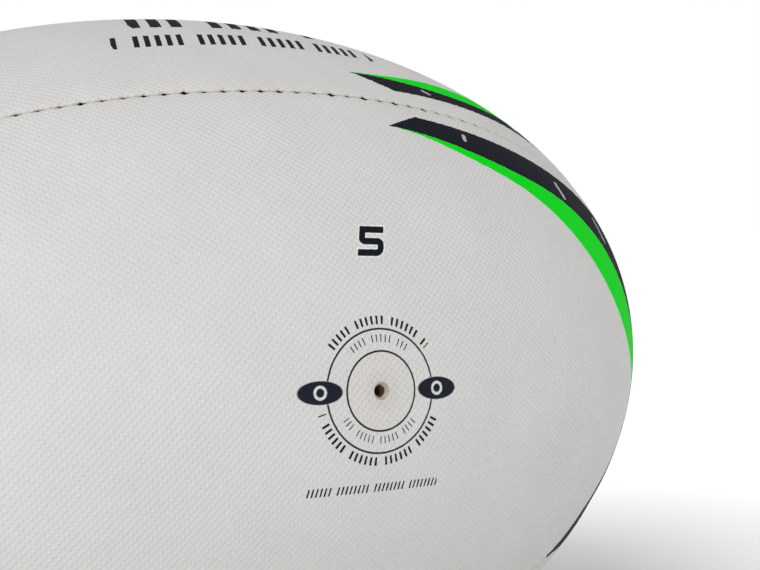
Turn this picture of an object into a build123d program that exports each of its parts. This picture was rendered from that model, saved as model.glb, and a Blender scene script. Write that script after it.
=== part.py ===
from build123d import *
import math
import os

# Size 5 rugby ball: four stitched laminated panels round an inflated bladder.
#
# Frame, in millimetres: the origin is the ball's centre and X is its long axis. The front
# panel, which holds the valve, faces -Y, and the top panel faces +Z. The four seams run
# from tip to tip in the two planes that hold the X axis and lie at 45 degrees to Y and Z.

# ---- driving dimensions ----------------------------------------------------------------
LENGTH = 285.0           # tip to tip
DIAMETER = 191.0         # across the middle, a girth of 600
FACING = 1.1             # pimpled rubber facing
PLY = 0.4                # one poly-cotton ply with its latex
PLY_NAMES = ("outer", "middle", "inner")
BOND = 0.02              # latex line between two layers, and between two facings at a seam
FLANGE_DEPTH = 6.0       # how deep the turned-in seam edges reach, from the outer surface

STITCH_PITCH = 4.45      # along the outer surface
STITCH_SHIFT = 0.76      # from the middle of the ball to a stitch, towards the +X tip
STITCH_DEPTH = 3.2       # stitch line, below the outer surface
STITCH_END_GAP = 10.0    # outer surface left unstitched at each tip
STITCH_HOLE_D = 1.3
STRAND_D = 0.55          # waxed thread, two strands to a seam
STRAND_BEND = 0.7        # bend radius where a strand enters a hole
STRAND_CLEARANCE = 0.05  # between a strand and the inner ply
KNOT_D = 1.8

BLADDER_WALL = 0.7
BLADDER_GAP = 0.5        # between the bladder and the turned-in seam edges
BLADDER_TIP_ANGLE = 4.0  # where the bladder's moulded ends are cut flat

VALVE_X = 22.0           # from the middle of the ball towards its +X tip
FACING_HOLE_D = 3.6      # the hole that shows
CARCASS_HOLE_D = 8.0     # through the plies, for the valve's nose
PATCH_D = 40.0           # reinforcing disc between the inner ply and the bladder
PATCH_T = 0.6
VALVE_FLANGE_D = 30.0
VALVE_FLANGE_T = 1.0
VALVE_NOSE_D = 7.8
STEM_D = 9.6
STEM_LENGTH = 19.0       # below the flange
CORE_D = 5.0
CORE_RECESS = 1.7        # core's face below the outer surface
CORE_BULB_D = 6.4        # swelling that keeps the core in the stem
CORE_BULB_DEPTH = 13.0   # middle of the swelling, below the outer surface
CORE_BULB_LENGTH = 4.0
CORE_LEAD_IN_D = 3.4     # funnel at the mouth of the needle channel
CORE_LEAD_IN_DEPTH = 0.8
NEEDLE_CHANNEL_D = 2.2
CORE_TIP = 2.5           # rubber that closes the channel's inner end

# ---- worked out from them --------------------------------------------------------------
HALF_LENGTH = LENGTH / 2
RADIUS = DIAMETER / 2
CARCASS = FACING + (PLY + BOND) * len(PLY_NAMES)
PATCH_BOTTOM = CARCASS + BOND + PATCH_T
VALVE_FLANGE_TOP = PATCH_BOTTOM + BOND + BLADDER_WALL + BOND
STEM_BOTTOM = VALVE_FLANGE_TOP + VALVE_FLANGE_T + STEM_LENGTH
QUARTER = 90.0
SEAM_ANGLE = 45.0        # from the middle of a panel to its seams
PANELS = ("front", "top", "back", "bottom")
SEAMS = ("front_top", "top_back", "back_bottom", "bottom_front")


def half_ellipse(inset):
    """The arc from tip to tip above the X axis, `inset` below the ball's surface."""
    return EllipticalCenterArc(
        (0, 0), HALF_LENGTH - inset, RADIUS - inset, start_angle=0, arc_size=180
    )


def spun(section, angle):
    """`section`, drawn above the X axis, spun through `angle` about the middle of -Y."""
    turned = section.rotate(Axis.X, 180 - angle / 2)
    return revolve(turned, Axis.X, angle)


def quarter_spheroid(inset):
    """One quarter of the ball's body, `inset` below its surface, round -Y."""
    reach = HALF_LENGTH - inset
    section = make_face([half_ellipse(inset), Line((-reach, 0), (reach, 0))])
    return spun(section, QUARTER)


def blunt_spheroid(inset):
    """The ball's body `inset` below its surface, with both tips cut flat."""
    rim = EllipticalCenterArc(
        (0, 0),
        HALF_LENGTH - inset,
        RADIUS - inset,
        start_angle=BLADDER_TIP_ANGLE,
        arc_size=180 - 2 * BLADDER_TIP_ANGLE,
    )
    right, left = rim @ 0, rim @ 1
    section = make_face([rim, Polyline(left, (left.X, 0), (right.X, 0), right)])
    return spun(section, 360)


def quarter_shell(inset, depth):
    """One quarter of the shell between two depths below the surface, round -Y."""
    outer = HALF_LENGTH - inset
    inner = HALF_LENGTH - depth
    section = make_face(
        [
            half_ellipse(inset),
            half_ellipse(depth),
            Line((-outer, 0), (-inner, 0)),
            Line((inner, 0), (outer, 0)),
        ]
    )
    return spun(section, QUARTER)


def wedge(inset):
    """The space between two neighbouring seam planes round -Y, each moved inwards by `inset`."""
    apex = inset * math.sqrt(2)
    reach = DIAMETER
    section = make_face(
        Polyline((-apex, 0), (-apex - reach, reach), (-apex - reach, -reach), close=True)
    )
    upright = Plane(origin=(-LENGTH, 0, 0), x_dir=(0, 1, 0), z_dir=(1, 0, 0))
    return extrude(upright * section, 2 * LENGTH)


def layer(top, bottom):
    """One layer of the front panel, with its edges turned in along the seams."""
    sheet = quarter_shell(top, FLANGE_DEPTH) & wedge(top + BOND)
    return sheet - (quarter_spheroid(bottom) & wedge(bottom + BOND))


def stitch_points():
    """Points (x, radius) of the stitch holes, evenly spaced along the outer surface."""
    outside = half_ellipse(0)
    line = half_ellipse(STITCH_DEPTH)
    reach = outside.length / 2 - STITCH_END_GAP
    before = int((reach + STITCH_SHIFT) / STITCH_PITCH)
    after = int((reach - STITCH_SHIFT) / STITCH_PITCH)
    points = []
    for index in range(-before, after + 1):
        along = (STITCH_SHIFT + index * STITCH_PITCH) / outside.length
        point = line @ (0.5 - along)
        points.append((point.X, point.Y))
    return points


def seam_frame(x, radius, seam_angle):
    """Place on a seam: X outwards from the long axis, Z across the seam, Y along the ball."""
    turn = math.radians(seam_angle)
    outwards = (0, -math.cos(turn), math.sin(turn))
    across = (0, math.sin(turn), math.cos(turn))
    spot = (x, radius * outwards[1], radius * outwards[2])
    return Plane(origin=spot, x_dir=outwards, z_dir=across)


def stitch_holes(points, seam_angle):
    """Pins that cut the stitch holes of one seam."""
    pin = Cylinder(STITCH_HOLE_D / 2, 2 * CARCASS + 2)
    return [seam_frame(x, radius, seam_angle) * pin for x, radius in points]


def strand(points, side):
    """One strand of a saddle stitch: it crosses the seam at each hole, `side` first.

    It is drawn on the seam whose plane is XZ, with Y across the seam, and each strand
    keeps to its own half of the hole.
    """
    across = CARCASS + STRAND_CLEARANCE + STRAND_D / 2
    apart = side * (STRAND_D / 2 + STRAND_CLEARANCE)
    route = []
    for index, (x, radius) in enumerate(points):
        before = side * across * (1 if index % 2 == 0 else -1)
        route.append(Vector(x, before, radius + apart))
        route.append(Vector(x, -before, radius + apart))
    for end in (0, -1):
        route[end].Y *= (CARCASS + STRAND_CLEARANCE + KNOT_D / 2) / across
    path = FilletPolyline(*route, radius=STRAND_BEND)
    start = Plane(origin=path @ 0, z_dir=path % 0)
    thread = sweep(start * Circle(STRAND_D / 2), path=path)
    return thread + [Pos(route[end]) * Sphere(KNOT_D / 2) for end in (0, -1)]


def seam_thread(points):
    """Both strands of the seam whose plane is XZ above the X axis."""
    return Compound(children=[strand(points, 1), strand(points, -1)])


def valve_frame(depth):
    """Plane on the valve's line, `depth` below the surface, with Z pointing outwards."""
    radius = RADIUS * math.sqrt(1 - (VALVE_X / HALF_LENGTH) ** 2)
    outwards = Vector(VALVE_X / HALF_LENGTH**2, -radius / RADIUS**2, 0).normalized()
    spot = Vector(VALVE_X, -radius, 0) - outwards * depth
    return Plane(origin=spot, z_dir=outwards)


def valve_round(diameter, top, bottom):
    """Cylinder on the valve's line between two depths below the surface."""
    height = bottom - top
    return valve_frame((top + bottom) / 2) * Cylinder(diameter / 2, height)


def near_valve(diameter, top, bottom):
    """Disc on the valve's line that follows the ball's curve between two depths."""
    plug = valve_round(diameter, -FACING, bottom + FLANGE_DEPTH)
    return plug & (quarter_spheroid(top) - quarter_spheroid(bottom))


def bladder_space(shrink):
    """The room that the bladder fills, drawn in by `shrink` on every side."""
    middle = blunt_spheroid(FLANGE_DEPTH + BLADDER_GAP + shrink)
    knots = CARCASS + STRAND_CLEARANCE + KNOT_D + BLADDER_GAP
    lobe = quarter_spheroid(CARCASS + BOND + shrink) & wedge(knots + shrink)
    lobes = [lobe.rotate(Axis.X, QUARTER * turn) for turn in range(len(PANELS))]
    dent = near_valve(PATCH_D + 2 * (BOND + shrink), 0, PATCH_BOTTOM + BOND + shrink)
    return middle + lobes - dent


def bladder():
    """Butyl bladder, dented by the patch and holed for the valve's nose."""
    skin = bladder_space(0) - bladder_space(BLADDER_WALL)
    return skin - valve_round(CARCASS_HOLE_D, 0, VALVE_FLANGE_TOP + 2)


def core_body(grow):
    """Soft rubber plug with a swelling that holds it in the stem, `grow` fatter all round."""
    plug = valve_round(CORE_D + 2 * grow, CORE_RECESS, STEM_BOTTOM + grow)
    bulb_top = CORE_BULB_DEPTH - CORE_BULB_LENGTH / 2 - grow
    bulb_bottom = CORE_BULB_DEPTH + CORE_BULB_LENGTH / 2 + grow
    return plug + valve_round(CORE_BULB_D + 2 * grow, bulb_top, bulb_bottom)


def valve_core():
    """The plug, with the channel that a needle opens and the funnel at its mouth."""
    channel = valve_round(NEEDLE_CHANNEL_D, CORE_RECESS - 1, STEM_BOTTOM - CORE_TIP)
    funnel = valve_frame(CORE_RECESS + CORE_LEAD_IN_DEPTH / 2) * Cone(
        NEEDLE_CHANNEL_D / 2, CORE_LEAD_IN_D / 2, CORE_LEAD_IN_DEPTH
    )
    return core_body(0) - channel - funnel


def valve_housing():
    """Moulded rubber valve: nose through the plies, flange on the bladder, stem inside."""
    flange_bottom = VALVE_FLANGE_TOP + VALVE_FLANGE_T
    flange = near_valve(VALVE_FLANGE_D, VALVE_FLANGE_TOP, flange_bottom)
    nose = valve_round(VALVE_NOSE_D, 0, flange_bottom)
    nose = nose & quarter_spheroid(FACING + BOND)
    stem = valve_round(STEM_D, VALVE_FLANGE_TOP + VALVE_FLANGE_T / 2, STEM_BOTTOM)
    mouth = valve_round(CORE_D + 2 * BOND, 0, CORE_BULB_DEPTH)
    return flange + nose + stem - mouth - core_body(BOND)


def write(name, shape):
    """Write one sub-part, and say what it weighs in at."""
    shape.label = name
    export_step(shape, f"parts/{name}.step")
    print(f"{name:24s} {len(shape.solids())} solids {shape.volume / 1000:9.2f} cm3")


def main():
    os.makedirs("parts", exist_ok=True)
    points = stitch_points()
    print("stitch holes in a seam", len(points))
    holes = stitch_holes(points, SEAM_ANGLE) + stitch_holes(points, -SEAM_ANGLE)

    # Facings and plies, one panel of each, then turned to the other three places.
    depth = 0.0
    for name, thickness in (("facing", FACING), *((f"ply_{ply}", PLY) for ply in PLY_NAMES)):
        plain = layer(depth, depth + thickness) - holes
        hole_d = FACING_HOLE_D if name == "facing" else CARCASS_HOLE_D
        holed = plain - valve_round(hole_d, -FACING, FLANGE_DEPTH * 2)
        for turn, panel in enumerate(PANELS):
            sheet = holed if panel == "front" else plain.rotate(Axis.X, -QUARTER * turn)
            write(f"{name}_{panel}", sheet)
        depth += thickness + BOND

    thread = seam_thread(points)
    for turn, seam in enumerate(SEAMS):
        write(f"thread_{seam}", thread.rotate(Axis.X, SEAM_ANGLE - QUARTER * turn))

    write("bladder", bladder())
    patch = near_valve(PATCH_D, CARCASS + BOND, PATCH_BOTTOM)
    write("valve_patch", patch - valve_round(CARCASS_HOLE_D, 0, FLANGE_DEPTH * 2))
    write("valve_housing", valve_housing())
    write("valve_core", valve_core())


main()
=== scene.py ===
import math

import bmesh
import bpy
import numpy as np
from mathutils import Matrix, Vector


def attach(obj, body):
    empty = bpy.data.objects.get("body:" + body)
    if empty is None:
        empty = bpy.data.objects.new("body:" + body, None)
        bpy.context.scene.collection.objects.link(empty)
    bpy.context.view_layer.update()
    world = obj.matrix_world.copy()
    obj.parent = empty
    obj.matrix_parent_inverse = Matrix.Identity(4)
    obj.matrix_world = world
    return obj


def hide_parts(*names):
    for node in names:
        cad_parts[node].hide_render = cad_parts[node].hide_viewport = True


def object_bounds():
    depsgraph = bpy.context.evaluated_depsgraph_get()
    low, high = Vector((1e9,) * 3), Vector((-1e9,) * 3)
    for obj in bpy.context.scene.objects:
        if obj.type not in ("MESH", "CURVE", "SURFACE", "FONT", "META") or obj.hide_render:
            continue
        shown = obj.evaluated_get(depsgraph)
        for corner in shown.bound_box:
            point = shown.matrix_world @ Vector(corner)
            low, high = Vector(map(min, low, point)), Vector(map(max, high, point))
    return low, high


# The ball's looks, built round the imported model.
#
# Frame: the origin is the ball's centre, X its long axis, -Y the middle of the front panel
# and +Z the middle of the top one. Facings are made in millimetres and scaled to metres.

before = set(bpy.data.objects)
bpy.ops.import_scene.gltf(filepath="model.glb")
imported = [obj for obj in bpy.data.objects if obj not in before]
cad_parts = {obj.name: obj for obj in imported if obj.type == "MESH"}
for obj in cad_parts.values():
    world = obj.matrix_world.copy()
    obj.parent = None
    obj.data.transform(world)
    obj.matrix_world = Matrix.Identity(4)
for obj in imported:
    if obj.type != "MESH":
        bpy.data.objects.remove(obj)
cad_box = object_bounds()

MM = 0.001
NOISE_SEED = 5

# ---- the ball's body, from the frame ---------------------------------------------------
HALF_LENGTH = (cad_box[1].x - cad_box[0].x) / 2 / MM
RADIUS = (cad_box[1].z - cad_box[0].z) / 2 / MM
PANELS = ("front", "top", "back", "bottom")
SEAM_ANGLE = math.pi / 4      # from the middle of a panel to its seams

# ---- facing ----------------------------------------------------------------------------
FACING = 1.1                  # thickness of the rubber
BOND = 0.02                   # gap between the facing and what it lies against
FLANGE_DEPTH = 6.0            # how deep the turned-in edges reach
TIP_RADIUS = 0.9              # where the four panels close at a tip

# ---- seam ------------------------------------------------------------------------------
STITCH_PITCH = 4.45
STITCH_SHIFT = 0.76           # from the ball's middle to a stitch
STITCH_END_GAP = 10.0         # unstitched at each tip
STATIONS_PER_STITCH = 5
OPENING_REACH = 0.58          # half-length of a stitch opening
OPENING = 0.5                 # how far a stitch pulls each edge open
PUCKER = 0.25                 # how far a stitch pulls the surface down
FOLD_RADIUS = 0.6             # of the turned-in edge
PULL_MIDDLE = 0.12            # where along the seams the stitches pull hardest
PULL_SPREAD = 0.28            # as shares of half the ball
OPENING_SHADE_DEPTH = 1.1                    # painted shade at a stitch opening, as if the groove were this much deeper
SEAM_DIP = 0.32               # the surface sinks towards a seam
SEAM_DIP_REACH = 5.0
OPENING_WIDTH = 0.55          # an opening dies out over this far from the seam
PUCKER_WIDTH = 1.3
STATION_SHIFT = (0.0, 0.34, 0.2)   # sections move towards a stitch, by steps from it
SHIFT_GAIN = 1.6
CLOSING_DEPTH = 2.7           # an opening closes this far above the flange's foot
BAND_SHARE = 0.6              # near a tip the band is at most this share of the radius
THICKEST_SHARE = 0.5          # and the facing is at most this share of it
WIDEST_SINE = 0.69            # keeps the underside's ends apart at a tip
UNDERSIDE_SHARE = 0.9

# ---- pimples ---------------------------------------------------------------------------
STATION = STITCH_PITCH / STATIONS_PER_STITCH   # lattice step along the ball
COLUMN = 0.78                 # lattice step round the ball
PIMPLE_HEIGHT = 0.1
PIMPLE_FADE = 2.0             # pimples rise to full height over this far
EDGE_CLEARANCE = 0.35         # share of a column kept clear at the band

# ---- valve -----------------------------------------------------------------------------
VALVE_X = 22.0
VALVE_HOLE_RADIUS = 1.8
VALVE_CLEARING = 3.4          # lattice is replaced by rings up to here
VALVE_RING_POINTS = 40
# The hole's lip and wall, as (past the hole's radius, depth) from the lip inwards.
VALVE_LIP = [(0.4, PIMPLE_HEIGHT / 2), (0.16, 0.07), (0.04, 0.12), (0.0, 0.22), (-0.05, 0.6),
             (-0.3, 0.85), (-0.6, FACING)]
LIP_FROM_CLEARING = 0.6
NO_VALVE = 99.0               # a distance at which the valve has no effect

# ---- mesh, and random sizes of the stitches ------------------------------------------------
KEY_TIE = 1e-6                # keys closer than this count as equal
MERIDIAN_STEPS = 20000
STITCH_SIZE = (0.45, 1.0)     # least and most a stitch pulls
EDGE_VARIATION = (0.8, 1.2)   # how the two edges of a seam differ
PULL_BASE = 0.75
PULL_EXTRA = 0.5              # added where the stitches pull hardest

rng = np.random.default_rng(NOISE_SEED)


# ======================================================================================
# Shape of the facings
# ======================================================================================

def meridian():
    """Arc length from the ball's middle against the ellipse's turn, both as arrays."""
    turn = np.linspace(-math.pi / 2, math.pi / 2, MERIDIAN_STEPS + 1)
    speed = np.hypot(HALF_LENGTH * np.cos(turn), RADIUS * np.sin(turn))
    arc = np.concatenate([[0], np.cumsum((speed[1:] + speed[:-1]) / 2 * np.diff(turn))])
    return turn, arc - arc[-1] / 2


MERIDIAN_TURN, MERIDIAN_ARC = meridian()
HALF_ARC = MERIDIAN_ARC[-1]


def turn_at(arc):
    return np.interp(arc, MERIDIAN_ARC, MERIDIAN_TURN)


def radius_at(arc):
    """Distance from the long axis to the surface."""
    return RADIUS * np.cos(turn_at(arc))


def arc_at(x):
    return float(np.interp(math.asin(x / HALF_LENGTH), MERIDIAN_TURN, MERIDIAN_ARC))


def place(arc, angle, depth, across=0.0, side=0.0):
    """Points `depth` below the surface, in the front panel.

    `angle` turns from the middle of the front panel towards the top one. `across` then
    moves a point away from the seam on its `side`, at right angles to the seam's plane.
    """
    turn = turn_at(arc)
    slope_x = np.sin(turn) / HALF_LENGTH
    slope_r = np.cos(turn) / RADIUS
    norm = np.hypot(slope_x, slope_r)
    x = HALF_LENGTH * np.sin(turn) - depth * slope_x / norm
    r = RADIUS * np.cos(turn) - depth * slope_r / norm
    y = -r * np.cos(angle) - across * np.sin(SEAM_ANGLE)
    z = r * np.sin(angle) - across * side * np.cos(SEAM_ANGLE)
    return np.stack(np.broadcast_arrays(x, y, z), axis=-1)


def seam_dip(gap):
    """How far the surface sinks at a distance `gap` from the seam, the fold aside."""
    return SEAM_DIP * np.clip(1 - gap / SEAM_DIP_REACH, 0, 1) ** 2


def fold(gap):
    """Depth of the rounded, turned-in edge."""
    rest = np.clip(FOLD_RADIUS - gap, 0, FOLD_RADIUS)
    return FOLD_RADIUS - np.sqrt(FOLD_RADIUS**2 - rest**2)


# Rows of the mesh beside each seam: on the surface by distance from the seam, and on the
# two walls of the turned-in edge by depth.
BAND_GAPS = np.array([2.3, 1.5, 0.95, 0.6, 0.32, 0.12, 0.0])
BAND = BAND_GAPS[0]
OUTER_WALL = np.array([0.7, 1.1, 1.7, 2.4, 3.3, 4.4, FLANGE_DEPTH])
INNER_WALL = np.array([FLANGE_DEPTH, 4.5, 3.0, 1.9])
SKIN_ROWS = 11


def station_arcs():
    """Where the cross-sections stand: every fifth is at a stitch."""
    outward = MERIDIAN_ARC[MERIDIAN_STEPS // 2:]
    reach = float(np.interp(-TIP_RADIUS, -radius_at(outward), outward))
    first = -int((reach + STITCH_SHIFT) / STATION)
    last = int((reach - STITCH_SHIFT) / STATION)
    return np.arange(first, last + 1)


def stitch_pull(index, sizes):
    """How strongly each station's edge is pulled open, and the station's shift to suit."""
    half = STATIONS_PER_STITCH // 2
    step = (index + half) % STATIONS_PER_STITCH - half
    stitch = (index - step) // STATIONS_PER_STITCH
    where = STITCH_SHIFT + stitch * STITCH_PITCH
    stitched = np.abs(where) < HALF_ARC - STITCH_END_GAP
    shift = np.array([-np.sign(s) * STATION_SHIFT[abs(s)] for s in step])
    off = step * STATION + shift
    size = sizes[stitch - stitch.min()]
    return stitched * size * np.exp(-((off / OPENING_REACH) ** 2)), shift


def edge_rows(index, side, sizes):
    """The rows of one edge of the front panel, from the surface down to the flange's foot,
    round it and up to the underside, as (points, flat coordinates, depth) per row. The
    stored depth is deepened at stitch openings, for the painted shade there."""
    pull, shift = stitch_pull(index, sizes)
    arc = STITCH_SHIFT + index * STATION
    reach = radius_at(arc)
    squeeze = np.minimum(1, BAND_SHARE * reach / BAND)
    rows = []
    for gap_at_rest in BAND_GAPS:
        gap = gap_at_rest * squeeze
        near = math.exp(-gap_at_rest / OPENING_WIDTH)
        moved = arc + shift * min(1, near * SHIFT_GAIN) * squeeze
        depth = PIMPLE_HEIGHT / 2 + fold(gap_at_rest) + seam_dip(gap)
        depth = depth + PUCKER * pull * math.exp(-gap_at_rest / PUCKER_WIDTH)
        across = BOND + gap + OPENING * pull * near
        rows.append((moved, depth, across, OPENING_SHADE_DEPTH * pull * near))
    for depth in OUTER_WALL:
        closing = np.clip((FLANGE_DEPTH - depth) / CLOSING_DEPTH, 0, 1)
        across = BOND + OPENING * pull * closing
        rows.append((arc + shift * closing * squeeze, depth + 0 * arc, across, OPENING_SHADE_DEPTH * pull))
    thick = np.minimum(FACING + BOND, THICKEST_SHARE * reach)
    for depth in INNER_WALL:
        rows.append((arc, depth + 0 * arc, thick, 0))
    made = []
    for along, depth, across, opening_shade in rows:
        points = place(along, side * SEAM_ANGLE, depth, across, side)
        half = radius_at(along) * SEAM_ANGLE
        flat = np.stack([along, side * (half - across), half], axis=-1)
        # The stored depth gains the stitch's painted shade, which darkens the seam's colour at
        # openings.
        made.append((points, flat, depth + opening_shade))
    return made


def skin_rows(index):
    """The facing's underside, from the upper edge to the lower one."""
    arc = STITCH_SHIFT + index * STATION
    reach = radius_at(arc)
    thick = np.minimum(FACING + BOND, THICKEST_SHARE * reach)
    sine = thick / (reach - FACING * UNDERSIDE_SHARE)
    widest = SEAM_ANGLE - np.arcsin(np.clip(sine, 0, WIDEST_SINE))
    made = []
    for share in np.linspace(1, -1, SKIN_ROWS):
        angle = share * widest
        points = place(arc, angle, FACING)
        flat = np.stack([arc, angle * reach, reach * SEAM_ANGLE], axis=-1)
        made.append((points, flat, FACING + 0 * arc))
    return made


def pimple(step, column, gap, from_valve):
    """Depth of a lattice point: pimples stand where step and column add up to even."""
    height = np.where((step + column) % 2 == 0, 1.0, 0.0)
    fade = np.clip((gap - BAND) / PIMPLE_FADE, 0, 1)
    fade = fade * np.clip((from_valve - VALVE_CLEARING) / PIMPLE_FADE, 0, 1)
    return PIMPLE_HEIGHT * (1 - (0.5 + (height - 0.5) * fade))


class Shell:
    """Vertices and faces of one facing as they are made."""

    def __init__(self):
        self.points = []
        self.flats = []
        self.depths = []
        self.faces = []
        self.count = 0

    def add(self, points, flats, depths):
        """Adds vertices and returns the number of the first."""
        first = self.count
        self.points.append(points)
        self.flats.append(flats)
        self.depths.append(depths)
        self.count += len(points)
        return first

    def zip(self, low, high, low_keys, high_keys, even):
        """Triangles between two rows of vertices whose keys rise together."""
        a = b = 0
        while a < len(low) - 1 or b < len(high) - 1:
            key_a = low_keys[a + 1] if a < len(low) - 1 else math.inf
            key_b = high_keys[b + 1] if b < len(high) - 1 else math.inf
            tie = abs(key_a - key_b) < KEY_TIE
            if key_a < key_b - KEY_TIE or (tie and even[a]):
                self.faces.append((low[a], high[b], low[a + 1]))
                a += 1
            else:
                self.faces.append((low[a], high[b], high[b + 1]))
                b += 1


def facing_shell(lower_sizes, upper_sizes, valve_arc):
    """One panel's facing, in the front panel's place. `valve_arc` is None without a valve."""
    shell = Shell()
    index = station_arcs()
    count = len(index)
    arcs = STITCH_SHIFT + index * STATION
    lower = edge_rows(index, -1, lower_sizes)
    upper = edge_rows(index, 1, upper_sizes)
    ring = upper + skin_rows(index) + lower[::-1]
    ring_first = []
    for points, flats, depths in ring:
        ring_first.append(shell.add(points, flats, depths))
    # Quads between neighbouring rows of the closed part of each section.
    for row in range(len(ring) - 1):
        here = ring_first[row]
        there = ring_first[row + 1]
        for i in range(count - 1):
            shell.faces.append((here + i, here + i + 1, there + i + 1, there + i))
    # The pimpled surface between the two bands: a row of lattice points at each station.
    half = radius_at(arcs) * SEAM_ANGLE
    rows = []
    for i in range(count):
        most = int((half[i] - BAND - EDGE_CLEARANCE * COLUMN) / COLUMN)
        columns = np.arange(-most, most + 1) if most >= 0 else np.arange(0)
        around = columns * COLUMN
        if valve_arc is None:
            from_valve = np.full(len(columns), NO_VALVE)
        else:
            from_valve = np.hypot(arcs[i] - valve_arc, around)
        gap = half[i] - np.abs(around)
        depth = pimple(index[i], columns, gap, from_valve) + seam_dip(gap)
        arc = np.full(len(columns), arcs[i])
        points = place(arc, around / radius_at(arcs[i]), depth)
        flats = np.stack([arc, around, np.full(len(columns), half[i])], axis=-1)
        first = shell.add(points, flats, depth)
        ids = [ring_first[-1] + i, *range(first, first + len(columns)), ring_first[0] + i]
        keys = [-half[i] + BAND, *around, half[i] - BAND]
        even = [False, *((index[i] + columns) % 2 == 0), False]
        clear = [False, *(from_valve < VALVE_CLEARING), False]
        rows.append((ids, keys, even, clear))
    lattice_from = len(shell.faces)
    for low, high in zip(rows[:-1], rows[1:]):
        shell.zip(low[0], high[0], low[1], high[1], low[2])
    if valve_arc is not None:
        cut_valve_hole(shell, rows, lattice_from, ring_first[len(upper)], count, valve_arc)
    # Both ends.
    for end in (0, count - 1):
        around = [first + end for first in ring_first]
        shell.faces.append(tuple(around + list(rows[end][0][1:-1])))
    return shell


def around_valve(flats, valve_arc):
    return np.arctan2(flats[:, 1], flats[:, 0] - valve_arc)


def open_loop(faces, flats, valve_arc, near):
    """Takes the faces that `near` says are inside out of `faces`, and returns the hole's
    edge in order round the valve."""
    kept = [f for f in faces if not any(near[v] for v in f)]
    gone = [f for f in faces if any(near[v] for v in f)]
    edges = {}
    for f in gone:
        for a, b in zip(f, f[1:] + f[:1]):
            edges[(a, b)] = True
    rim = [(a, b) for a, b in edges if (b, a) not in edges]
    following = dict(rim)
    start = rim[0][0]
    loop = [start]
    while following[loop[-1]] != start:
        loop.append(following[loop[-1]])
    angle = around_valve(flats[loop], valve_arc)
    if (np.diff(angle) > 0).sum() < (np.diff(angle) < 0).sum():
        loop = loop[::-1]
        angle = angle[::-1]
    first = int(np.argmin(angle))
    return kept, loop[first:] + loop[:first], np.roll(angle, -first)


def zip_round(shell, outer, outer_angle, inner, inner_angle):
    """Triangles between two closed loops round the valve."""
    low = list(outer) + [outer[0]]
    high = list(inner) + [inner[0]]
    low_keys = list(outer_angle) + [outer_angle[0] + 2 * math.pi]
    high_keys = list(inner_angle) + [inner_angle[0] + 2 * math.pi]
    shell.zip(low, high, low_keys, high_keys, [False] * len(low))


def cut_valve_hole(shell, rows, lattice_from, skin_first, count, valve_arc):
    """Opens the hole that shows the valve, with a rounded lip and a wall."""
    flats = np.concatenate(shell.flats)
    near = np.zeros(shell.count, bool)
    for ids, _, _, clear in rows:
        for vertex, is_clear in zip(ids, clear):
            near[vertex] = is_clear
    lattice, rim, rim_angle = open_loop(shell.faces[lattice_from:], flats, valve_arc, near)
    skin = range(skin_first, skin_first + SKIN_ROWS * count)
    skin_near = np.zeros(shell.count, bool)
    middle = skin_first + SKIN_ROWS // 2 * count
    for vertex in range(middle, middle + count):
        skin_near[vertex] = abs(flats[vertex, 0] - valve_arc) < VALVE_CLEARING
    below = [f for f in shell.faces[:lattice_from] if all(v in skin for v in f)]
    above = [f for f in shell.faces[:lattice_from] if not all(v in skin for v in f)]
    below, foot, foot_angle = open_loop(below, flats, valve_arc, skin_near)
    shell.faces = above + below + lattice
    angle = np.arange(VALVE_RING_POINTS) / VALVE_RING_POINTS * 2 * math.pi - math.pi
    profile = [(VALVE_CLEARING - LIP_FROM_CLEARING, PIMPLE_HEIGHT / 2)]
    profile += [(VALVE_HOLE_RADIUS + past, depth) for past, depth in VALVE_LIP]
    rings = []
    for reach, depth in profile:
        arc = valve_arc + reach * np.cos(angle)
        around = reach * np.sin(angle)
        points = place(arc, around / radius_at(arc), depth)
        half = radius_at(arc) * SEAM_ANGLE
        flat = np.stack([arc, around, half], axis=-1)
        first = shell.add(points, flat, np.full(len(angle), depth))
        rings.append(list(range(first, first + len(angle))))
    zip_round(shell, rim, rim_angle, rings[0], angle)
    for wide, narrow in zip(rings[:-1], rings[1:]):
        zip_round(shell, wide, angle, narrow, angle)
    zip_round(shell, rings[-1], angle, foot, foot_angle)


def shell_object(name, shell, quarter_turns):
    """The facing as a Blender object, turned from the front to its own place."""
    points = np.concatenate(shell.points)
    turn = -math.pi / 2 * quarter_turns
    turned = points.copy()
    turned[:, 1] = points[:, 1] * math.cos(turn) - points[:, 2] * math.sin(turn)
    turned[:, 2] = points[:, 1] * math.sin(turn) + points[:, 2] * math.cos(turn)
    mesh = bpy.data.meshes.new(name)
    mesh.from_pydata((turned * MM).tolist(), [], shell.faces)
    flat = mesh.attributes.new("flat", "FLOAT_VECTOR", "POINT")
    flat.data.foreach_set("vector", np.concatenate(shell.flats).astype(np.float32).ravel())
    depth = mesh.attributes.new("depth", "FLOAT", "POINT")
    depth.data.foreach_set("value", np.concatenate(shell.depths).astype(np.float32))
    tidy = bmesh.new()
    tidy.from_mesh(mesh)
    bmesh.ops.recalc_face_normals(tidy, faces=tidy.faces)
    if tidy.calc_volume(signed=True) < 0:
        bmesh.ops.reverse_faces(tidy, faces=tidy.faces)
    open_edges = sum(1 for e in tidy.edges if not e.is_manifold)
    tidy.to_mesh(mesh)
    tidy.free()
    mesh.shade_smooth()
    made = bpy.data.objects.new(name, mesh)
    bpy.context.scene.collection.objects.link(made)
    print(f"{name}: {len(mesh.polygons)} faces, {open_edges} open edges")
    return made


# ======================================================================================
# Shader helpers
# ======================================================================================

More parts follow.
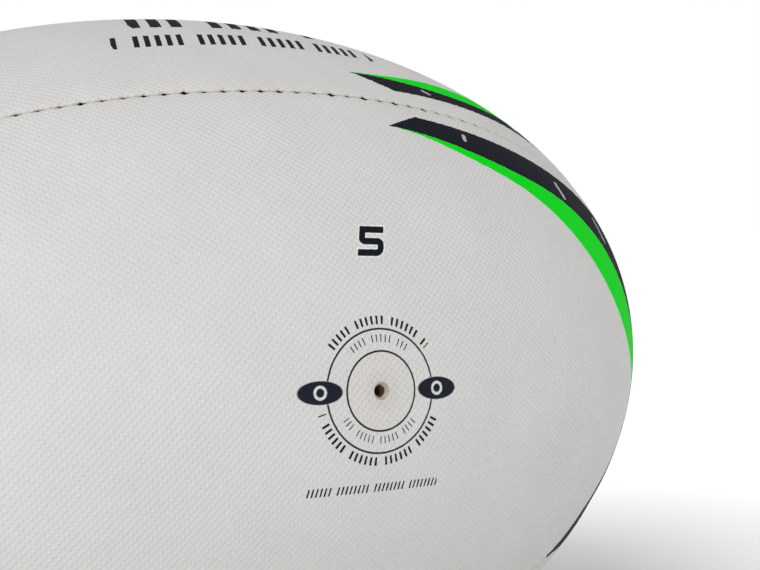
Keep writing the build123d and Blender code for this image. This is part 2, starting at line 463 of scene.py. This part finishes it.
class Field:
    """A number at every point of a surface, worked out by Math nodes."""

    def __init__(self, tree, socket):
        self.tree = tree
        self.socket = socket

    def math(self, operation, *others, clamp=False):
        node = self.tree.nodes.new("ShaderNodeMath")
        node.operation = operation
        node.use_clamp = clamp
        for slot, value in enumerate((self, *others)):
            if isinstance(value, Field):
                self.tree.links.new(value.socket, node.inputs[slot])
            else:
                node.inputs[slot].default_value = value
        return Field(self.tree, node.outputs[0])

    def __add__(self, other):
        return self.math("ADD", other)

    def __sub__(self, other):
        return self.math("SUBTRACT", other)

    def __rsub__(self, other):
        return (self * -1) + other

    def __mul__(self, other):
        return self.math("MULTIPLY", other)

    def __truediv__(self, other):
        return self.math("DIVIDE", other)

    def __abs__(self):
        return self.math("ABSOLUTE")

    def max(self, other):
        return self.math("MAXIMUM", other)

    def min(self, other):
        return self.math("MINIMUM", other)

    def clamped(self):
        return self.math("ADD", 0.0, clamp=True)

    def inside(self, softness=0.12):
        """1 where this distance is negative, 0 where it is positive."""
        return self.math("MULTIPLY_ADD", -1 / softness, 0.5, clamp=True)

    def curve(self, across, up, points):
        """Smooth curve through `points`, for values from 0 to `across`, up to `up`."""
        node = self.tree.nodes.new("ShaderNodeFloatCurve")
        line = node.mapping.curves[0]
        first, *middle, last = points
        line.points[0].location = (first[0] / across, first[1] / up)
        line.points[1].location = (last[0] / across, last[1] / up)
        for x, y in middle:
            line.points.new(x / across, y / up)
        node.mapping.update()
        self.tree.links.new((self / across).socket, node.inputs["Value"])
        return Field(self.tree, node.outputs["Value"]) * up


class Paint:
    """Node tree of one material with the coordinates that the fields start from."""

    def __init__(self, name):
        self.material = bpy.data.materials.new(name)
        self.material.use_nodes = True
        self.tree = self.material.node_tree
        self.shader = self.tree.nodes["Principled BSDF"]

    def attribute(self, name):
        node = self.tree.nodes.new("ShaderNodeAttribute")
        node.attribute_name = name
        return node

    def field(self, socket):
        return Field(self.tree, socket)

    def split(self, socket):
        node = self.tree.nodes.new("ShaderNodeSeparateXYZ")
        self.tree.links.new(socket, node.inputs[0])
        return [self.field(out) for out in node.outputs]

    def join(self, *parts):
        node = self.tree.nodes.new("ShaderNodeCombineXYZ")
        for slot, part in enumerate(parts):
            if isinstance(part, Field):
                self.tree.links.new(part.socket, node.inputs[slot])
            else:
                node.inputs[slot].default_value = part
        return node.outputs[0]

    def object_place(self):
        return self.tree.nodes.new("ShaderNodeTexCoord").outputs["Object"]

    def noise(self, vector, scale, detail=3.0, roughness=0.5):
        node = self.tree.nodes.new("ShaderNodeTexNoise")
        node.inputs["Scale"].default_value = scale
        node.inputs["Detail"].default_value = detail
        node.inputs["Roughness"].default_value = roughness
        self.tree.links.new(vector, node.inputs["Vector"])
        return self.field(node.outputs["Fac"])

    def mix(self, share, first, second):
        """Colour `first` turning into `second` as `share` goes from 0 to 1."""
        node = self.tree.nodes.new("ShaderNodeMix")
        node.data_type = "RGBA"
        self.tree.links.new(share.socket, node.inputs["Factor"])
        for socket, colour in ((node.inputs[6], first), (node.inputs[7], second)):
            if isinstance(colour, tuple):
                socket.default_value = (*colour, 1)
            else:
                self.tree.links.new(colour, socket)
        return node.outputs[2]

    def bump(self, height, distance, below=None, strength=1.0):
        node = self.tree.nodes.new("ShaderNodeBump")
        node.inputs["Strength"].default_value = strength
        node.inputs["Distance"].default_value = distance
        self.tree.links.new(height.socket, node.inputs["Height"])
        if below is not None:
            self.tree.links.new(below, node.inputs["Normal"])
        return node.outputs["Normal"]

    def finish(self, colour, roughness, normal=None, **settings):
        if isinstance(colour, tuple):
            self.shader.inputs["Base Color"].default_value = (*colour, 1)
        else:
            self.tree.links.new(colour, self.shader.inputs["Base Color"])
        if isinstance(roughness, Field):
            self.tree.links.new(roughness.socket, self.shader.inputs["Roughness"])
        else:
            self.shader.inputs["Roughness"].default_value = roughness
        if normal is not None:
            self.tree.links.new(normal, self.shader.inputs["Normal"])
        for name, value in settings.items():
            self.shader.inputs[name].default_value = value
        return self.material


def cover(made, material):
    """Gives an object one material."""
    made.data.materials.clear()
    made.data.materials.append(material)


# ======================================================================================
# Print
# ======================================================================================

def segment(x, y, start, end, half_width):
    """Signed distance to a round-ended bar."""
    dx = end[0] - start[0]
    dy = end[1] - start[1]
    length = math.hypot(dx, dy)
    along = ((x - start[0]) * (dx / length) + (y - start[1]) * (dy / length))
    past = (abs(along - length / 2) - length / 2).max(0.0)
    off = (x - start[0]) * (-dy / length) + (y - start[1]) * (dx / length)
    return (past * past + off * off).math("SQRT") - half_width


def ring(x, y, centre, radius, half_width):
    """Signed distance to a thin ring."""
    dx = x - centre[0]
    dy = y - centre[1]
    return abs((dx * dx + dy * dy).math("SQRT") - radius) - half_width


def ticks(along, period, duty, group):
    """Plain ticks: 1 on a tick, 0 between ticks and in the last place of each group."""
    step = along / period
    on_tick = step.math("FRACT").math("LESS_THAN", duty)
    in_group = (step / group).math("FRACT").math("LESS_THAN", 1 - 1 / group)
    return on_tick * in_group


def between(value, low, high, softness=0.15):
    """1 from low to high, 0 outside."""
    half = (high - low) / 2
    return (abs(value - (low + half)) - half).inside(softness)


class Stripe:
    """Outline of a panel's stripe, as (distance from the ball's middle, from the seam)."""

    def __init__(self, start, start_slope, level, level_slope, ink_edge, green_edge, marks):
        self.start = start                # pointed end of the stripe
        self.start_slope = start_slope    # of the slanting cut next to it
        self.level = level                # lower edge at LEVEL_FROM, and its slope
        self.level_slope = level_slope
        self.ink_edge = ink_edge          # between black and green
        self.green_edge = green_edge
        self.marks = marks                # unprinted ticks: start, end, half-width


LEVEL_FROM = 54.0
LEVEL_MOST = 8.5
STRIPE_SPAN = 140.0
STRIPE_RISE = 64.0
# Edges turn at a few points each: the start, the middle of the sweep and the black tip.
FRONT_STRIPE = Stripe(
    start=(43, 10),
    start_slope=-0.5,
    level=5,
    level_slope=0.05,
    ink_edge=[(0, 10), (43, 10), (75, 15), (110, 20), (130, 30), (140, 60)],
    green_edge=[(0, 10), (43, 10), (65, 16), (90, 24), (120, 44), (140, 63)],
    marks=(((67, 8), (66.5, 9.5), 0.6), ((101.5, 11.5), (102.5, 15.5), 0.75),
           ((122, 13.5), (124, 19), 0.9)),
)
TOP_STRIPE = Stripe(
    start=(42, 11.5),
    start_slope=-0.6,
    level=5.5,
    level_slope=0.075,
    ink_edge=[(0, 11), (42, 11.5), (84, 13), (110, 20), (130, 30), (140, 60)],
    green_edge=[(0, 11), (42, 11.5), (70, 17), (90, 22), (120, 44), (140, 63)],
    marks=(((63.5, 9.5), (65, 8.5), 0.55), ((101.5, 11.5), (102.5, 15.5), 0.75)),
)
CORNER_START = 86.0
CORNER_EDGE = [(0, 1), (86, 1), (98, 5.5), (124, 14), (140, 60)]
BARE_STRIP_END = 150.0            # where the bare strip beside the seam comes to a point
BARE_STRIP_TAPER = 0.45


def stripe_masks(stripe, u, v, half, mirror):
    """Where a panel's stripes are inked, where they are green, and their ticks."""
    side = u.math("SIGN") * mirror
    along = abs(u)
    near = half - v * side
    far = half + v * side
    lower = ((along - LEVEL_FROM) * stripe.level_slope + stripe.level).min(LEVEL_MOST)
    lower = lower.min((BARE_STRIP_END - along) * BARE_STRIP_TAPER)
    cut = (along - stripe.start[0]) * stripe.start_slope + stripe.start[1]
    ink_edge = along.curve(STRIPE_SPAN, STRIPE_RISE, stripe.ink_edge)
    green_edge = along.curve(STRIPE_SPAN, STRIPE_RISE, stripe.green_edge)
    corner_edge = along.curve(STRIPE_SPAN, STRIPE_RISE, CORNER_EDGE)
    started = (stripe.start[0] - along).inside()
    ink = (lower.max(cut) - near).inside() * (near - ink_edge).inside() * started
    corner = (far - corner_edge).inside() * (CORNER_START - along).inside()
    green = (ink_edge - near).inside() * (near - green_edge).inside() * started
    mark = None
    for start, end, half_width in stripe.marks:
        bar = segment(along, near, start, end, half_width).inside()
        mark = bar if mark is None else mark.max(bar)
    bare = (near - lower).inside()
    return ink.max(corner) * (1 - bare), green * (1 - corner), mark


OVALS = (((-14.3, 0.1), 5.1, 2.4), ((14.1, 0.1), 5.0, 2.4))   # centre, half-width, half-height
OVAL_RING_RADIUS = 1.2
OVAL_RING_HALF_WIDTH = 0.3
INNER_RING = 8.23
OUTER_RING = 12.84
RING_WIDTH = 0.42
RING_SOFTNESS = 0.14
OVAL_SOFTNESS = 0.18
# Rows of ticks round the valve, as (inner and outer radius, first and last angle).
BOLD_ROWS = ((13.8, 15.6, 38, 143), (13.7, 15.5, -163, -18))
BOLD_TICKS = (4.9, 0.42, 7)       # degrees from tick to tick, share inked, places in a group
THIN_ROWS = ((10.1, 11.7, 50, 133), (9.3, 10.9, -147, -38))
THIN_TICKS = (5.6, 0.24, 6)
ROW_END_SOFTNESS = 0.5
# The straight row of ticks under the rings.
LINE_HEIGHT = (-21.05, -19.3)
LINE_ENDS = (-16.8, 15.1)
LINE_TICKS = (0.98, 0.4, 9)
LINE_START = 40
LINE_LEAN = 0.25


def oval(x, y, centre, wide, tall):
    """1 inside an oval, 0 outside."""
    dx = (x - centre[0]) / wide
    dy = (y - centre[1]) / tall
    return (((dx * dx + dy * dy).math("SQRT") - 1) * tall).inside(OVAL_SOFTNESS)


def tick_rows(reach, turn, rows, spacing):
    """Ticks along arcs round the valve."""
    found = None
    for inner, outer, first, last in rows:
        row = between(reach, inner, outer) * between(turn, first, last, ROW_END_SOFTNESS)
        found = row if found is None else found.max(row)
    return found * ticks(turn + 360, *spacing)


def valve_print(x, y):
    """Print round the valve: two rings, two filled ovals and ticks where wording would be."""
    reach = (x * x + y * y).math("SQRT")
    turn = y.math("ARCTAN2", x) * (180 / math.pi)
    rings = (abs(reach - OUTER_RING) - RING_WIDTH / 2).inside(RING_SOFTNESS)
    rings = rings.max((abs(reach - INNER_RING) - RING_WIDTH / 2).inside(RING_SOFTNESS))
    ovals = None
    for centre, wide, tall in OVALS:
        whole = oval(x, y, centre, wide, tall)
        mark = ring(x, y, centre, OVAL_RING_RADIUS, OVAL_RING_HALF_WIDTH).inside()
        filled = whole * (1 - mark)
        ovals = filled if ovals is None else ovals.max(filled)
        rings = rings * (1 - whole)
    bold = tick_rows(reach, turn, BOLD_ROWS, BOLD_TICKS)
    thin = tick_rows(reach, turn, THIN_ROWS, THIN_TICKS)
    line = between(y, *LINE_HEIGHT) * between(x, *LINE_ENDS)
    line = line * ticks(x + LINE_START - y * LINE_LEAN, *LINE_TICKS)
    return rings.max(ovals).max(bold).max(thin).max(line)


# The digit, upright before it is slanted: three bars, and a rounded bowl at each side.
DIGIT_FOOT = 29.2
DIGIT_WAIST = 31.8
DIGIT_TOP = 34.5
DIGIT_LEFT = -2.5
DIGIT_MIDDLE = 0.6
DIGIT_RIGHT = 3.5
DIGIT_LAP = 0.3                # the halves overlap by this much on each side of the middle
DIGIT_BOWL_RIGHT = 3.8
DIGIT_HALF_WIDTH = 0.77
UPPER_BOWL_ROUND = 0.8
LOWER_BOWL_ROUND = 1.0
DIGIT_SLANT = 0.24
DIGIT_HALO = 0.28


def bar(x, y, left, right, height):
    """Signed distance to a level bar of the digit with square ends."""
    middle = (left + right) / 2
    return (abs(y - height) - DIGIT_HALF_WIDTH).max(abs(x - middle) - (right - left) / 2)


def bowl(x, y, side, low, high, rounding):
    """Signed distance to a bowl of the digit whose line is at `side`, with round corners."""
    reach = abs(side - DIGIT_MIDDLE)
    dx = abs(x - DIGIT_MIDDLE) - (reach - rounding)
    dy = abs(y - (low + high) / 2) - ((high - low) / 2 - rounding)
    corner_x = dx.max(0.0)
    corner_y = dy.max(0.0)
    outside = (corner_x * corner_x + corner_y * corner_y).math("SQRT")
    line = abs(outside + dx.max(dy).min(0.0) - rounding) - DIGIT_HALF_WIDTH
    other_half = (DIGIT_MIDDLE - x) if side > DIGIT_MIDDLE else (x - DIGIT_MIDDLE)
    return line.max(other_half - DIGIT_LAP)


def digit_distance(x, y):
    """Signed distance to the outline of the plain printed digit."""
    x = x - (y - DIGIT_WAIST) * DIGIT_SLANT
    left = DIGIT_LEFT + DIGIT_HALF_WIDTH
    right = DIGIT_BOWL_RIGHT - DIGIT_HALF_WIDTH
    bars = bar(x, y, DIGIT_LEFT, DIGIT_RIGHT, DIGIT_TOP)
    bars = bars.min(bar(x, y, DIGIT_LEFT, DIGIT_MIDDLE + DIGIT_LAP, DIGIT_FOOT))
    upper = bowl(x, y, left, DIGIT_WAIST, DIGIT_TOP, UPPER_BOWL_ROUND)
    lower = bowl(x, y, right, DIGIT_FOOT, DIGIT_WAIST, LOWER_BOWL_ROUND)
    return bars.min(upper).min(lower)


WHITE = (0.755, 0.75, 0.738)
WHITE_LOW = (0.655, 0.644, 0.626)
INK = (0.008, 0.011, 0.017)
GREEN = (0.0, 0.78, 0.012)
NAVY = (0.008, 0.011, 0.022)
HANDLED_WHITE = (0.685, 0.655, 0.63)    # a little warmer, inside the inner ring
HALO_WHITE = (0.92, 0.92, 0.9)
TICK_WHITE = (0.55, 0.55, 0.55)
# Colours of the painted shade on the valve hole's wall and rim.
WALL_SHADE = (0.52, 0.46, 0.39)
RIM_SHADE = (0.30, 0.25, 0.20)
SOIL_BROWN = (0.50, 0.42, 0.33)
# Colours of the painted shade in the seam's fold and of the painted shadow deep in it and in the
# stitch openings.
FOLD_SHADE = (0.66, 0.61, 0.54)
DEEP_SHADE = (0.035, 0.02, 0.014)

SWAY = 0.4                    # how far the shaded dots drift from the lattice
DOT_FLOOR = -0.15             # the flat between dots, on a scale where a dot's top is 1
# Dots paint the pimple tops lighter and the hollows between them darker: painted highlight and
# painted shade.
DOT_PAINTED_LIGHT = 0.5
PATCH_SHADE = 0.8
MIDDLE_SHADE = 0.4
INK_COVER = 0.99              # share of the rubber's colour that the ink hides
GRAIN_COVER = 0.02            # and up to this much more, by the grain
DIGIT_SOFTNESS = 0.16
PRINT_TURN = -0.118           # the print round the valve is turned in its panel, in radians
PIMPLE_BUMP = 0.00015
GRAIN_BUMP = 0.00003

# Rows of bars on the top and bottom panels, from the seam up.
ROW_SLOPE = 0.043
ROW_SLOPE_FROM = -16
BAR_LEAN = 0.2
BAR_START = 200
SMALL_ROW = (20.0, 27.4)
SMALL_ENDS = (-13.5, 56)
SMALL_BARS = (2.6, 0.5, 6)
LARGE_ROW = (34.5, 50.5)
LARGE_ENDS = (-5, 46)
LARGE_BARS = (5.2, 0.55, 5)


def base_rubber(paint):
    """Fields shared by all facings: flat coordinates, depth, dots and a place for noise."""
    flat = paint.attribute("flat").outputs["Vector"]
    u, v, half = paint.split(flat)
    place_mm = paint.join(u, v, 0.0)
    sway = (paint.noise(place_mm, 0.16, 2) - 0.5) * SWAY
    depth = paint.field(paint.attribute("depth").outputs["Fac"])
    lattice_u = ((u + sway - STITCH_SHIFT) * (math.pi / STATION)).math("COSINE")
    lattice_v = ((v + sway) * (math.pi / COLUMN)).math("COSINE")
    dots = (lattice_u * lattice_v).max(DOT_FLOOR)
    return u, v, half, depth, dots, place_mm


def bars_for_wording(u, from_seam):
    """Two rows of slanted bars."""
    level = from_seam - (u - ROW_SLOPE_FROM) * ROW_SLOPE
    row = u - from_seam * BAR_LEAN + BAR_START
    small = between(level, *SMALL_ROW) * between(u, *SMALL_ENDS) * ticks(row, *SMALL_BARS)
    large = between(level, *LARGE_ROW) * between(u, *LARGE_ENDS) * ticks(row, *LARGE_BARS)
    return small, large


def print_round_valve(paint, colour, du, v, depth, place_mm):
    """The front panel's own print, the worn and soiled rubber at its valve, and painted shade on
    the hole's wall and rim.
    """
    x = du * math.cos(PRINT_TURN) + v * math.sin(PRINT_TURN)
    y = v * math.cos(PRINT_TURN) - du * math.sin(PRINT_TURN)
    from_middle = (du * du + v * v).math("SQRT")
    from_hole = from_middle - VALVE_HOLE_RADIUS
    handled = (from_middle - INNER_RING).inside(0.5)
    colour = paint.mix(handled * 0.5, colour, HANDLED_WHITE)
    colour = paint.mix(valve_print(x, y) * INK_COVER, colour, NAVY)
    digit = digit_distance(x, y)
    halo = (digit - DIGIT_HALO).inside(DIGIT_SOFTNESS) * 0.8
    colour = paint.mix(halo, colour, HALO_WHITE)
    colour = paint.mix(digit.inside(DIGIT_SOFTNESS), colour, INK)
    # Painted shade on the valve hole's wall, darker with depth.
    wall = ((depth - 0.15) / 0.3).clamped() * (from_hole - 0.3).inside(0.3)
    colour = paint.mix(wall * 0.75, colour, WALL_SHADE)
    # Painted shade: a thin dark line on the hole's rim.
    rim = (abs(from_hole) - 0.06).inside(0.12)
    colour = paint.mix(rim * 0.4, colour, RIM_SHADE)
    soil = (1 - from_hole / 3.2).clamped() * paint.noise(place_mm, 0.9, 3)
    return paint.mix(soil * 0.55, colour, SOIL_BROWN)


def seam_painted_shade(paint, colour, gap, depth, ink):
    """Painted shade in the seam's fold, darkest where a stitch opens it."""
    by_seam = (3 - gap).clamped()
    # Painted shade: the colour darkens with depth in the turned-in fold, less over ink.
    fold_shade = ((depth - 0.45) / 0.4).clamped() * by_seam * (1 - ink * 0.9)
    colour = paint.mix(fold_shade * 0.8, colour, FOLD_SHADE)
    # Painted shadow: near black deep in the fold and in the stitch openings.
    deep = ((depth - 1.1) / 0.5).clamped() * by_seam
    return paint.mix(deep, colour, DEEP_SHADE)


def facing_material(panel, valve_arc):
    """Pimpled white rubber with the panel's print, with painted shade along its seams and painted
    light on its pimples.
    """
    paint = Paint(f"facing_{panel}")
    u, v, half, depth, dots, place_mm = base_rubber(paint)
    patches = paint.noise(place_mm, 0.045, 4)
    grain = paint.noise(place_mm, 2.2, 2)
    edge_noise = (paint.noise(place_mm, 1.6, 2) - 0.5) * 0.5
    upright = panel in ("front", "back")
    stripe = FRONT_STRIPE if upright else TOP_STRIPE
    mirror = 1 if upright else -1
    ink, green, marks = stripe_masks(stripe, u + edge_noise, v + edge_noise, half, mirror)

    # The rubber's random tone, plus painted highlight on the pimple tops and painted shade
    # between them.
    shade = (dots * DOT_PAINTED_LIGHT + MIDDLE_SHADE + (patches - 0.5) * PATCH_SHADE).clamped()
    colour = paint.mix(shade, WHITE_LOW, WHITE)
    cover_share = grain * GRAIN_COVER + INK_COVER
    colour = paint.mix(green * cover_share, colour, GREEN)
    if not upright:
        small, large = bars_for_wording(u, half + v if panel == "top" else half - v)
        ink = ink.max(small).max(large)
    colour = paint.mix(ink * cover_share, colour, INK)
    colour = paint.mix(marks * ink * 0.9, colour, TICK_WHITE)
    if panel == "front":
        colour = print_round_valve(paint, colour, u - valve_arc, v, depth, place_mm)
    # Painted shade in the seams, darker with depth.
    colour = seam_painted_shade(paint, colour, half - abs(v), depth, ink)

    pimples = paint.bump(dots, PIMPLE_BUMP)
    grained = paint.bump(grain, GRAIN_BUMP, pimples, 0.5)
    roughness = (ink * -0.05 + 0.55) + (patches - 0.5) * 0.12
    return paint.finish(colour, roughness, grained, **{"Specular IOR Level": 0.05})


# ======================================================================================
# Materials of the parts inside
# ======================================================================================

WEAVE_PITCH = 0.0009          # in metres
CLOTH_DARK = (0.52, 0.46, 0.34)
CLOTH_LIGHT = (0.72, 0.68, 0.56)
THREAD_DARK = (0.05, 0.035, 0.025)
THREAD_LIGHT = (0.16, 0.12, 0.08)


def cloth_material():
    """Poly-cotton ply: a plain weave soaked in latex."""
    paint = Paint("poly_cotton_ply")
    spot = paint.object_place()
    x, y, z = paint.split(spot)
    weave = 2 * math.pi / WEAVE_PITCH
    crossed = (x * weave).math("SINE") * ((y - z) * weave).math("SINE")
    mottle = paint.noise(spot, 60, 4)
    shade = (mottle * 0.6 + crossed * 0.2 + 0.2).clamped()
    colour = paint.mix(shade, CLOTH_DARK, CLOTH_LIGHT)
    return paint.finish(colour, 0.8, paint.bump(crossed, 0.00008))


def thread_material():
    """Waxed polyester thread, darkened by use."""
    paint = Paint("waxed_thread")
    spot = paint.object_place()
    x, y, z = paint.split(spot)
    twist = ((x * 9000.0) + (y + z) * 5000.0).math("SINE")
    colour = paint.mix(paint.noise(spot, 400, 3), THREAD_DARK, THREAD_LIGHT)
    return paint.finish(colour, 0.45, paint.bump(twist, 0.00004))


def rubber_material(name, dark, light, roughness, scale):
    """Moulded rubber with a fine bloom."""
    paint = Paint(name)
    spot = paint.object_place()
    colour = paint.mix(paint.noise(spot, scale, 5), dark, light)
    return paint.finish(colour, roughness, paint.bump(paint.noise(spot, scale * 12, 3), 0.00005))


# ======================================================================================
# Scene
# ======================================================================================

def build_facings():
    valve_arc = arc_at(VALVE_X)
    stitches = int(2 * HALF_ARC / STITCH_PITCH) + 3
    middle = np.exp(-((np.linspace(-1, 1, stitches) - PULL_MIDDLE) / PULL_SPREAD) ** 2)
    pull = PULL_BASE + PULL_EXTRA * middle
    sizes = [rng.uniform(*STITCH_SIZE, stitches) * pull for _ in PANELS]
    # Seam k lies between panel k and panel k + 1; a panel's own lower edge is seam k - 1.
    for turn, panel in enumerate(PANELS):
        hole = valve_arc if panel == "front" else None
        lower = sizes[turn - 1] * rng.uniform(*EDGE_VARIATION, stitches)
        upper = sizes[turn] * rng.uniform(*EDGE_VARIATION, stitches)
        shell = facing_shell(lower, upper, hole)
        made = shell_object(f"pimpled_facing_{panel}", shell, turn)
        made.data.materials.append(facing_material(panel, valve_arc))
        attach(made, "root")
        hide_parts(f"facing_{panel}")


def dress_inside():
    """Materials for the parts that the facings cover."""
    cloth = cloth_material()
    thread = thread_material()
    black = rubber_material("butyl_bladder", (0.012, 0.012, 0.013), (0.03, 0.03, 0.03), 0.5, 40)
    patch = rubber_material("patch_rubber", (0.20, 0.14, 0.08), (0.30, 0.22, 0.14), 0.6, 70)
    housing = rubber_material("valve_rubber", (0.03, 0.02, 0.012), (0.07, 0.045, 0.025), 0.5, 200)
    core = rubber_material("core_rubber", (0.10, 0.05, 0.022), (0.26, 0.15, 0.07), 0.55, 300)
    for name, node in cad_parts.items():
        if name.startswith("facing_"):
            continue
        if name.startswith("ply_"):
            finish = cloth
        elif name.startswith("thread_"):
            finish = thread
        else:
            finish = {"bladder": black, "valve_patch": patch,
                      "valve_housing": housing, "valve_core": core}[name]
        cover(node, finish)


WORLD_LIGHT = 0.45
KEY_PLACE = (-1.1, -1.1, 1.6)
KEY_SIZE = 1.5
KEY_POWER = 22.5
FLOOR_REACH = 6.0
FLOOR_WHITE = (0.9, 0.9, 0.9)
FLOOR_GLOW = 0.05             # under the ball
FLOOR_GLOW_MORE = 0.56        # added away from it
SHADOW_REACH = 0.12           # the glow grows from here
SHADOW_FADE = 0.26


def area_light(name, place_at, size, power):
    light = bpy.data.lights.new(name, "AREA")
    light.shape = "DISK"
    light.size = size
    light.energy = power
    made = bpy.data.objects.new(name, light)
    bpy.context.scene.collection.objects.link(made)
    made.location = place_at
    made.rotation_euler = (-Vector(place_at)).to_track_quat("-Z", "Y").to_euler()


def studio():
    """Pale floor that glows with painted light, white surroundings and one soft light."""
    floor_mesh = bpy.data.meshes.new("floor")
    level = cad_box[0].z
    corners = [(x * FLOOR_REACH, y * FLOOR_REACH, level)
               for x, y in ((-1, -1), (1, -1), (1, 1), (-1, 1))]
    floor_mesh.from_pydata(corners, [], [(0, 1, 2, 3)])
    floor = bpy.data.objects.new("floor", floor_mesh)
    bpy.context.scene.collection.objects.link(floor)
    paint = Paint("pale_floor")
    x, y, _ = paint.split(paint.object_place())
    # Painted light: the floor glows, weakly under the ball and more away from it.
    away = (((x * x + y * y).math("SQRT") - SHADOW_REACH) / SHADOW_FADE).clamped()
    glow = away * FLOOR_GLOW_MORE + FLOOR_GLOW
    paint.tree.links.new(glow.socket, paint.shader.inputs["Emission Strength"])
    settings = {"Emission Color": (1, 1, 1, 1), "Specular IOR Level": 0.1}
    floor_mesh.materials.append(paint.finish(FLOOR_WHITE, 0.9, **settings))
    world = bpy.data.worlds.new("studio")
    bpy.context.scene.world = world
    world.use_nodes = True
    tree = world.node_tree
    background = tree.nodes["Background"]
    background.inputs["Color"].default_value = (1, 1, 1, 1)
    # The backdrop is white to look at and lights the ball more dimly.
    seen = tree.nodes.new("ShaderNodeLightPath").outputs["Is Camera Ray"]
    strength = tree.nodes.new("ShaderNodeMapRange")
    strength.inputs["To Min"].default_value = WORLD_LIGHT
    strength.inputs["To Max"].default_value = 1.0
    tree.links.new(seen, strength.inputs["Value"])
    tree.links.new(strength.outputs["Result"], background.inputs["Strength"])
    area_light("key", KEY_PLACE, KEY_SIZE, KEY_POWER)
    bpy.context.scene.view_settings.view_transform = "Standard"


CAMERA_PLACE = (-87.06, -318.09, 28.69)
CAMERA_HEADING = 26.457       # degrees from +Y towards +X
CAMERA_PITCH = -1.607
CAMERA_ROLL = -6.515
CAMERA_LENS = 57.5


def camera():
    data = bpy.data.cameras.new("camera")
    data.lens = CAMERA_LENS
    data.sensor_width = 36.0
    data.clip_start = 0.01
    data.clip_end = 50.0
    made = bpy.data.objects.new("camera", data)
    bpy.context.scene.collection.objects.link(made)
    heading = Matrix.Rotation(math.radians(-CAMERA_HEADING), 4, "Z")
    pitch = Matrix.Rotation(math.radians(90 + CAMERA_PITCH), 4, "X")
    roll = Matrix.Rotation(math.radians(CAMERA_ROLL), 4, "Z")
    made.matrix_world = Matrix.Translation(Vector(CAMERA_PLACE) * MM) @ heading @ pitch @ roll
    bpy.context.scene.camera = made


camera()
studio()
build_facings()
dress_inside()
